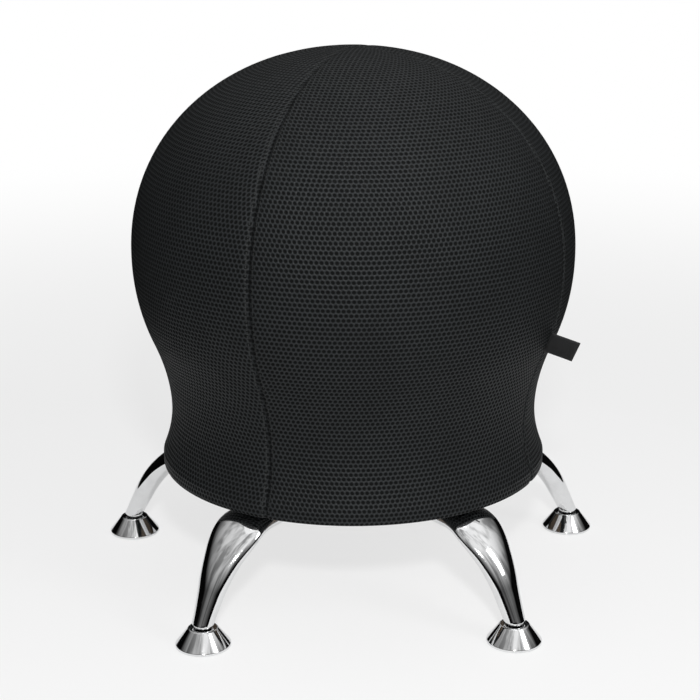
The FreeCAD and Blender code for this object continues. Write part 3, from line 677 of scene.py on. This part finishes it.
def cover_gore(cover, number, outline):
    """One gore: a quarter of the cover, dipping where it is sewn and gathered at its hem."""
    bm = bmesh.new()
    along = bm.verts.layers.float.new("along")
    gap_layer = bm.verts.layers.float.new("seam_gap")
    verts, edges = chain(bm, outline)
    run = 0.0
    for before, vert in zip([verts[0]] + verts, verts):
        run += (vert.co - before.co).length
        vert[along] = run
    quarter = math.tau / len(GORES)
    bmesh.ops.spin(bm, geom=verts + edges, cent=(0, 0, 0), axis=(0, 0, 1), angle=quarter, steps=56)
    bmesh.ops.remove_doubles(bm, verts=bm.verts, dist=1e-6)
    bmesh.ops.recalc_face_normals(bm, faces=bm.faces)
    bm.normal_update()
    crown = cover.ball_middle
    if sum(face.normal.z * face.calc_area() for face in bm.faces if face.calc_center_median().z > crown) < 0:
        bmesh.ops.reverse_faces(bm, faces=bm.faces)
    uv = bm.loops.layers.uv.new("weave")
    hem_start = BOARD_RADIUS + cover.offset
    under = BOARD_LOW.z + cover.low_round
    bm.normal_update()
    normals = {vert: vert.normal.copy() for vert in bm.verts}
    for vert in bm.verts:
        radius = math.hypot(vert.co.x, vert.co.y)
        angle = math.atan2(vert.co.y, vert.co.x) if radius > 1e-5 else quarter / 2
        to_seam = max(min(angle, quarter - angle), 0) * radius
        vert[gap_layer] = to_seam
        away = to_seam / cover.seam_reach
        vert.co -= normals[vert] * cover.seam_dip * math.exp(-away * away * 2.5)
        if vert.co.z < under and radius < hem_start:
            inwards = min((hem_start - radius) / (hem_start - cover.hem_radius), 1)
            ripple = 0.5 - 0.5 * math.cos(angle * cover.gathers)
            vert.co.z -= cover.gather_depth * inwards ** 1.5 * ripple
    for face in bm.faces:
        middle = face.calc_center_median()
        for loop in face.loops:
            vert = loop.vert
            radius = math.hypot(vert.co.x, vert.co.y)
            angle = math.atan2(vert.co.y, vert.co.x) if radius > 1e-5 else math.atan2(middle.y, middle.x)
            loop[uv].uv = (radius * (angle - quarter / 2), vert[along])
    start = cover.seam + quarter * number
    bmesh.ops.transform(bm, matrix=turned_to(start, AXIS), verts=bm.verts)
    return bm


class CHAIR_OT_cover(bpy.types.Operator):
    """Build the four sewn gores of the mesh cover"""

    bl_idname = "chair.cover"
    bl_label = "Cover"

    def execute(self, context):
        cover = context.scene.chair_cover
        fabric = mesh_fabric("Spacer mesh", cover)
        outline = cover_outline(cover)
        for number, side in enumerate(GORES):
            piece = finished("gore_" + side, cover_gore(cover, number, outline), fabric, 60)
            thicken(piece, "Thickness", cover.thickness, -1)
            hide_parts("cover_" + side)
            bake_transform(piece)
        return {"FINISHED"}


class CHAIR_OT_hem(bpy.types.Operator):
    """Build the gathered casing of the hem's elastic"""

    bl_idname = "chair.hem"
    bl_label = "Hem"

    def execute(self, context):
        cover = context.scene.chair_cover
        low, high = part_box("hem_elastic")
        middle = (low.z + high.z) / 2
        thick = (high.z - low.z) / 2
        bm = bmesh.new()
        ring = arc_points((cover.hem_radius, middle), thick, 0, 360, 16)
        spun(bm, ring, 4 * cover.gathers)
        for vert in bm.verts:
            angle = math.atan2(vert.co.y, vert.co.x)
            radius = math.hypot(vert.co.x, vert.co.y)
            off = Vector((vert.co.x / radius, vert.co.y / radius, 0)) * cover.hem_radius
            off.z = middle
            ripple = 0.5 + 0.5 * math.cos(angle * cover.gathers)
            vert.co = off + (vert.co - off) * (0.86 + 0.14 * ripple)
        bmesh.ops.transform(bm, matrix=Matrix.Translation(AXIS), verts=bm.verts)
        piece = finished("hem_casing", bm, plain_fabric("Hem tape", (0.012, 0.013, 0.013), 0.0011), 80)
        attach(piece, "base")
        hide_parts("hem_elastic")
        return {"FINISHED"}


class CHAIR_OT_ball(bpy.types.Operator):
    """Build the inflated ball under the cover"""

    bl_idname = "chair.ball"
    bl_label = "Ball"

    def execute(self, context):
        cover = context.scene.chair_cover
        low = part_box("ball")[0].z
        steps = 48
        points = []
        for step in range(steps + 1):
            angle = math.radians(90 - 180 * step / steps)
            half = cover.ball_rise if angle > 0 else cover.ball_drop
            lift = math.copysign(abs(math.sin(angle)) ** (2 / cover.ball_fullness), angle)
            height = max(cover.ball_middle + half * lift, low)
            points.append((egg_radius(cover, height), height))
            if height <= low:
                break
        points.append((0, low))
        bm = bmesh.new()
        spun(bm, points, 96)
        bmesh.ops.transform(bm, matrix=Matrix.Translation(AXIS), verts=bm.verts)
        piece = finished("ball_skin", bm, ball_vinyl("Ball vinyl"), 50)
        thicken(piece, "Wall", cover.ball_wall, -1)
        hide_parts("ball")
        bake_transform(piece)
        return {"FINISHED"}


class CHAIR_OT_label(bpy.types.Operator):
    """Build the folded label, left bare"""

    bl_idname = "chair.label"
    bl_label = "Label"

    def execute(self, context):
        cover = context.scene.chair_cover
        label = context.scene.chair_label
        bm = bmesh.new()
        half = label.ply * 0.75
        steps = 12
        path = [(part * label.reach / steps - label.sewn, -half) for part in range(steps + 1)]
        turns = [math.pi * part / 6 for part in range(1, 6)]
        fold = [(label.reach - label.sewn + half * math.sin(a), -half * math.cos(a)) for a in turns]
        path += fold + [(x, half) for x, y in reversed(path)]
        verts = [bm.verts.new((x, y, -label.width / 2)) for x, y in path]
        edges = [bm.edges.new(pair) for pair in zip(verts, verts[1:])]
        rows = 10
        for step in range(rows):
            verts, edges = drawn_out(bm, edges)
            bmesh.ops.translate(bm, vec=(0, 0, label.width / rows), verts=verts)
        for vert in bm.verts:
            out = vert.co.x / label.reach
            vert.co.x += vert.co.z * math.tan(label.slant)
            vert.co.y += label.curl * out * out
            vert.co.z -= label.sag * out * out
        bmesh.ops.recalc_face_normals(bm, faces=bm.faces)
        root = egg_radius(cover, label.root_height, cover.offset) + label.proud
        azimuth = cover.seam + math.tau / len(GORES)
        tilt = Matrix.Translation((root, 0, label.root_height)) @ Matrix.Rotation(label.droop, 4, "Y")
        bmesh.ops.transform(bm, matrix=turned_to(azimuth, AXIS) @ tilt, verts=bm.verts)
        piece = finished("label_tape", bm, plain_fabric("Label tape", label.colour, 0.0007, 0.0002), 60)
        thicken(piece, "Ply", label.ply, 0)
        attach(piece, "seat")
        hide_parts("cover_label")
        return {"FINISHED"}


# The base


def leg_path(leg):
    """The stretches of a leg's centre line from its foot: length, bend radius (0 if straight), end lean."""
    turned = leg.knee_lean - leg.foot_lean
    rise = leg.straight * math.cos(leg.foot_lean)
    rise += leg.bend * (math.sin(leg.knee_lean) - math.sin(leg.foot_lean))
    knee = (leg.run_height - leg.foot_height - rise) / (1 - math.sin(leg.knee_lean))
    return (
        (leg.straight, 0, leg.foot_lean),
        (leg.bend * turned, leg.bend, leg.knee_lean),
        (knee * (math.pi / 2 - leg.knee_lean), knee, math.pi / 2),
    )


def leg_point(leg, along):
    """Centre and lean of a leg at a length along it from its foot."""
    place = Vector((FOOT_RADIUS, 0, leg.foot_height))
    lean = leg.foot_lean
    left = along
    for run, radius, end_lean in leg_path(leg):
        step = min(left, run)
        if radius == 0:
            place += Vector((-math.sin(lean), 0, math.cos(lean))) * step
        else:
            last = lean + step / radius
            place += Vector((math.cos(last) - math.cos(lean), 0, math.sin(last) - math.sin(lean))) * radius
            lean = last
        left -= step
        if left <= 0:
            return place, lean
    return place - Vector((left, 0, 0)), math.pi / 2


def leg_size(leg, along):
    """Width and thickness of a leg at a length along it."""
    visible = leg.straight + leg_path(leg)[1][0]
    part = min(max(along / visible, 0), 1)
    grown = 0.7 * part + 0.3 * part ** 2
    inward = min(max((along - visible) / (FOOT_RADIUS - visible), 0), 1)
    thickest = 0.6
    swell = min(part / thickest, 1)
    settle = min(max((part - thickest) / (1 - thickest), 0), 1)
    width = leg.foot_width + (leg.shoulder_width - leg.foot_width) * grown
    width += (leg.hub_width - leg.shoulder_width) * inward
    thickness = leg.foot_thickness + (leg.bend_thickness - leg.foot_thickness) * math.sin(swell * math.pi / 2)
    thickness += (leg.run_thickness - leg.bend_thickness) * settle
    return width, thickness


def between(values, place):
    """A smooth curve through evenly spaced values."""
    number = min(max(int(place), 0), len(values) - 2)
    part = place - number
    before = values[max(number - 1, 0)]
    first, second = values[number], values[number + 1]
    after = values[min(number + 2, len(values) - 1)]
    lean_in = (second - before) / 2
    lean_out = (after - first) / 2
    cube, square = part ** 3, part ** 2
    return (
        (2 * cube - 3 * square + 1) * first + (cube - 2 * square + part) * lean_in
        + (3 * square - 2 * cube) * second + (cube - square) * lean_out
    )


def leg_stations(leg):
    """Cross-sections of a leg from below its foot to inside the hub tube, as moves of a unit circle."""
    below_foot, inside_hub = 0.014, 0.006
    start = -below_foot
    bends = sum(run for run, radius, lean in leg_path(leg))
    hub = (HUB_HIGH.x - HUB_LOW.x) / 2
    end = bends + leg_point(leg, bends)[0].x - hub + inside_hub
    spans = 8
    widths = []
    thicknesses = []
    for number in range(spans + 1):
        width, thickness = leg_size(leg, start + (end - start) * number / spans)
        widths.append(width)
        thicknesses.append(thickness)
    moves = []
    count = 120
    for number in range(count + 1):
        part = number / count
        along = start + (end - start) * part
        centre, lean = leg_point(leg, along)
        width = between(widths, part * spans)
        thickness = between(thicknesses, part * spans)
        forward = Vector((-math.sin(lean), 0, math.cos(lean)))
        side = Vector((0, 1, 0))
        up = forward.cross(side)
        turned = Matrix((side, up, forward)).transposed().to_4x4()
        scaled = Matrix.Diagonal((width / 2, thickness / 2, 1, 1))
        moves.append(Matrix.Translation(centre) @ turned @ scaled)
    return moves


def cut_level(bm, height, keep_above):
    """Cut a closed mesh level at a height and close it; the rim of the cut."""
    geom = bm.verts[:] + bm.edges[:] + bm.faces[:]
    cut = bmesh.ops.bisect_plane(
        bm, geom=geom, dist=1e-7, plane_co=(0, 0, height), plane_no=(0, 0, 1),
        clear_inner=keep_above, clear_outer=not keep_above,
    )
    rim = [item for item in cut["geom_cut"] if isinstance(item, bmesh.types.BMEdge)]
    bmesh.ops.contextual_create(bm, geom=rim)
    return rim


def leg_mesh(leg):
    """A leg along +X with its foot outwards."""
    bm = bmesh.new()
    moves = leg_stations(leg)
    ring = bmesh.ops.create_circle(bm, cap_ends=False, radius=1, segments=leg.sides)["verts"]
    edges = bm.edges[:]
    bmesh.ops.contextual_create(bm, geom=edges)
    bmesh.ops.transform(bm, matrix=moves[0], verts=ring)
    for before, move in zip(moves, moves[1:]):
        ring, edges = drawn_out(bm, edges)
        bmesh.ops.transform(bm, matrix=move @ before.inverted(), verts=ring)
    bmesh.ops.contextual_create(bm, geom=edges)
    bmesh.ops.recalc_face_normals(bm, faces=bm.faces)
    foot = cut_level(bm, leg.foot_height, True)
    bmesh.ops.bevel(
        bm, geom=foot, offset=leg.foot_bevel, offset_type="OFFSET", segments=3, profile=0.5, material=-1,
        affect="EDGES", clamp_overlap=True,
    )
    cut_level(bm, HUB_HIGH.z, False)
    bmesh.ops.remove_doubles(bm, verts=bm.verts, dist=1e-6)
    bmesh.ops.recalc_face_normals(bm, faces=bm.faces)
    return bm


class CHAIR_OT_legs(bpy.types.Operator):
    """Build the five chromed legs"""

    bl_idname = "chair.legs"
    bl_label = "Legs"

    def execute(self, context):
        leg = context.scene.chair_leg
        chrome = chrome_plate("Leg chrome", leg.chrome)
        for number, place in enumerate(PLACES):
            bm = leg_mesh(leg)
            azimuth = math.tau / len(PLACES) * (number - 0.5)
            bmesh.ops.transform(bm, matrix=turned_to(azimuth, AXIS), verts=bm.verts)
            piece = finished("leg_shell_" + place, bm, chrome, 30)
            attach(piece, "base")
            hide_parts("leg_" + place)
        return {"FINISHED"}


class CHAIR_OT_glides(bpy.types.Operator):
    """Build the bells and studs of the glides"""

    bl_idname = "chair.glides"
    bl_label = "Glides"

    def bell(self, glide):
        """Outline of a bell: down its outside from the hole, round the rim and back up inside."""
        rise = glide.height - glide.lift - glide.lip
        spread = glide.rim_radius - glide.top_radius
        slant = math.hypot(rise, spread)
        inner_top = glide.height - glide.wall
        inner_lip = glide.lift + glide.lip + glide.wall * (rise - slant) / spread
        inner_top_radius = glide.top_radius + glide.wall * (spread - slant) / rise
        corners = [
            (glide.hole_radius, inner_top, 0),
            (glide.hole_radius, glide.height, 0.0003),
            (glide.top_radius, glide.height, 0.0011),
            (glide.rim_radius, glide.lift + glide.lip, 0.0006),
            (glide.rim_radius, glide.lift, 0.0003),
            (glide.rim_radius - glide.wall, glide.lift, 0.0003),
            (glide.rim_radius - glide.wall, inner_lip, 0.0004),
            (inner_top_radius, inner_top, 0.0006),
            (glide.hole_radius, inner_top, 0),
        ]
        return rounded(corners)

    def stud(self, glide, tip):
        """Outline of a stud from the bottom of its ball to its tip."""
        neck_angle = 54.3
        ball = arc_points((0, glide.swivel_height), glide.swivel_radius, -90, neck_angle, 14)
        corners = [
            (glide.neck_radius, ball[-1][1], 0),
            (glide.neck_radius, glide.collar_low, 0.0006),
            (glide.collar_radius, glide.collar_low, 0.0005),
            (glide.collar_radius, glide.collar_top, 0.0005),
            (glide.thread_radius, glide.collar_top, 0.0003),
            (glide.thread_radius, tip - glide.tip_bevel, 0),
            (glide.thread_radius - glide.tip_bevel, tip, 0),
            (0, tip, 0),
        ]
        return ball[:-1] + rounded(corners)

    def execute(self, context):
        glide = context.scene.chair_glide
        chrome = chrome_plate("Glide chrome", context.scene.chair_leg.chrome, 0.08)
        for place in PLACES:
            move = Matrix.Translation(foot_place(place))
            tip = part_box("glide_stud_" + place)[1].z
            for name, outline, body in (
                ("bell", self.bell(glide), "glide_"),
                ("stud", self.stud(glide, tip), "stud_"),
            ):
                bm = bmesh.new()
                spun(bm, outline, 96)
                bmesh.ops.transform(bm, matrix=move, verts=bm.verts)
                piece = finished("%s_shell_%s" % (name, place), bm, chrome, 50)
                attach(piece, body + place)
                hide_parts("glide_%s_%s" % (name, place))
        return {"FINISHED"}


class CHAIR_OT_finishes(bpy.types.Operator):
    """Give the CAD pieces that stay their finishes"""

    bl_idname = "chair.finishes"
    bl_label = "Finishes"

    def execute(self, context):
        chrome = chrome_plate("Leg chrome", context.scene.chair_leg.chrome)
        plastic = moulded_plastic("Moulded plastic")
        zinc = zinc_plate("Zinc plate")
        finishes = {
            "seat_board": plywood("Birch plywood"), "mounting_plate": chrome, "hub_tube": chrome,
            "hub_plug": plastic, "ball_plug": plastic,
            "tee_nuts": zinc, "bolt_washers": zinc, "plate_bolts": zinc,
        }
        for place in PLACES:
            finishes["foot_insert_" + place] = zinc
            finishes["glide_pad_" + place] = plastic
        for node, material in finishes.items():
            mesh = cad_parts[node].data
            mesh.materials.clear()
            mesh.materials.append(material)
        return {"FINISHED"}


# The studio

FLOOR_SIZE = 14
FLOOR_DROP = 0.0002
ROOM_RADIUS = 2.3
LAMP_AIM = Vector((0, 0, 0.3))
LAMPS = (
    ("key", (0.02, -1.9, 1.3), (0.16, 0.16), 28, (1, 1, 1)),
    ("fill", (1.35, -1.05, 1.35), (0.5, 0.9), 7, (1, 1, 1)),
    ("top", (0.1, 0, 2.6), (0.9, 0.9), 5, (0.95, 0.98, 1)),
)


def backdrop_material(colour):
    """A lit floor under the chair, which fades to white with distance and is part white in the chrome."""
    made = Shader("Backdrop")
    made.value("Base Color", tuple(colour))
    made.value("Roughness", 0.6)
    made.value("Specular IOR Level", 0.2)
    path = made.add("LightPath")
    lamp = made.add("Emission")
    lamp.inputs["Color"].default_value = (1, 1, 1, 1)
    away = made.add("VectorMath", operation="LENGTH")
    made.link(made.place(), away.inputs[0])
    paler = made.ranged(away.outputs["Value"], 0.5, 2.6, 0.7, 1.0, smooth=True)
    seen = made.maths("ADD", made.maths("MULTIPLY", path.outputs["Is Camera Ray"], paler), made.maths(
        "MULTIPLY", path.outputs["Is Glossy Ray"], 0.4))
    mix = made.add("MixShader")
    made.link(seen, mix.inputs[0])
    made.link(made.surface.outputs[0], mix.inputs[1])
    made.link(lamp.outputs[0], mix.inputs[2])
    made.link(mix.outputs[0], made.nodes["Material Output"].inputs["Surface"])
    return made.block


class CHAIR_OT_studio(bpy.types.Operator):
    """Set up the floor, lamps, surround and camera"""

    bl_idname = "chair.studio"
    bl_label = "Studio"

    def lamp(self, name, place, size, watts, colour):
        """A rectangular lamp that points at the chair."""
        data = bpy.data.lights.new(name, "AREA")
        data.shape = "RECTANGLE"
        data.size, data.size_y = size
        data.energy = watts
        data.color = colour
        lamp = bpy.data.objects.new(name, data)
        lamp.location = place
        lamp.rotation_euler = (LAMP_AIM - Vector(place)).to_track_quat("-Z", "Y").to_euler()
        bpy.context.scene.collection.objects.link(lamp)

    def floor(self, colour):
        """The floor, a hair under the glides."""
        bm = bmesh.new()
        turned = Matrix.Rotation(math.pi, 4, "Z")
        move = Matrix.Translation((0, 0, -FLOOR_DROP)) @ turned
        bmesh.ops.create_grid(bm, x_segments=1, y_segments=1, size=FLOOR_SIZE / 2, matrix=move)
        piece = finished("studio_floor", bm, backdrop_material(colour))

    def surround(self, radius):
        """The dim room that only mirrors see: dark low down and behind, and streaked higher up."""
        made = Shader("Dim room")
        made.nodes.remove(made.surface)
        place = made.place()
        split = made.axes(place)
        behind = made.maths("MULTIPLY_ADD", split["Y"], -0.2, -0.2 * radius)
        height = made.maths("ADD", split["Z"], behind)
        level = made.ranged(height, 0.25, 1.8, 0.004, 1.0)
        sided = made.ranged(split["X"], -radius, radius, 0.6, 1.0)
        streaks = made.noise(made.mapped(place, (1, 1, 0.15)), 1.7, 2.0)
        streaks = made.ranged(streaks, 0.38, 0.6, 0.4, 1.1)
        level = made.maths("MULTIPLY", made.maths("MULTIPLY", level, sided), streaks)
        lamp = made.add("Emission")
        made.link(level, lamp.inputs["Color"])
        made.link(lamp.outputs[0], made.nodes["Material Output"].inputs["Surface"])
        bm = bmesh.new()
        outline = ((0.62, 0.001), (radius, 0.001), (radius, 1), (radius - 0.4, 1.9), (radius - 1.4, 2.6))
        spun(bm, outline, 96)
        ring = finished("dim_room", bm, made.block)
        for ray in ("camera", "diffuse", "shadow", "transmission", "volume_scatter"):
            setattr(ring, "visible_" + ray, False)

    def execute(self, context):
        studio = context.scene.chair_studio
        scene = context.scene
        scene.view_settings.view_transform = "Standard"
        self.floor(studio.floor)

        world = Shader("Studio", "worlds", "Background")
        scene.world = world.block
        path = world.add("LightPath").outputs
        bright = world.maths("MAXIMUM", path["Is Camera Ray"], path["Is Glossy Ray"])
        world.value("Color", (1, 1, 1))
        world.value("Strength", world.ranged(bright, 0.0, 1.0, 0.3, 1.0))

        for lamp in LAMPS:
            self.lamp(*lamp)
        self.surround(ROOM_RADIUS)

        camera = bpy.data.cameras.new("camera")
        camera.sensor_width = 36
        camera.lens = studio.lens
        camera.shift_x = studio.side_shift
        camera.clip_end = 50
        holder = bpy.data.objects.new("camera", camera)
        out = Vector((math.sin(studio.camera_azimuth), -math.cos(studio.camera_azimuth), 0))
        holder.location = AXIS + out * studio.camera_distance + Vector((0, 0, studio.camera_height))
        holder.rotation_euler = (math.pi / 2 - studio.camera_pitch, 0, studio.camera_azimuth)
        scene.collection.objects.link(holder)
        scene.camera = holder
        return {"FINISHED"}


PIECES = (
    CHAIR_OT_cover,
    CHAIR_OT_hem,
    CHAIR_OT_ball,
    CHAIR_OT_label,
    CHAIR_OT_legs,
    CHAIR_OT_glides,
    CHAIR_OT_finishes,
    CHAIR_OT_studio,
)


class CHAIR_PT_panel(bpy.types.Panel):
    """Lists what the chair is built from"""

    bl_label = "Ball Chair"
    bl_idname = "CHAIR_PT_panel"
    bl_space_type = "VIEW_3D"
    bl_region_type = "UI"
    bl_category = "Ball Chair"

    def draw(self, context):
        for piece in PIECES:
            self.layout.operator(piece.bl_idname)
        for name, group in SETTINGS:
            box = self.layout.box()
            box.label(text=group.__doc__)
            settings = getattr(context.scene, name)
            for key in group.__annotations__:
                box.prop(settings, key, text=key.replace("_", " ").capitalize())


def register():
    for name, group in SETTINGS:
        bpy.utils.register_class(group)
        setattr(bpy.types.Scene, name, PointerProperty(type=group))
    for piece in PIECES:
        bpy.utils.register_class(piece)
    bpy.utils.register_class(CHAIR_PT_panel)


def unregister():
    bpy.utils.unregister_class(CHAIR_PT_panel)
    for piece in reversed(PIECES):
        bpy.utils.unregister_class(piece)
    for name, group in reversed(SETTINGS):
        delattr(bpy.types.Scene, name)
        bpy.utils.unregister_class(group)


def main():
    register()
    for piece in PIECES:
        group, name = piece.bl_idname.split(".")
        getattr(getattr(bpy.ops, group), name)()


if __name__ == "__main__":
    main()
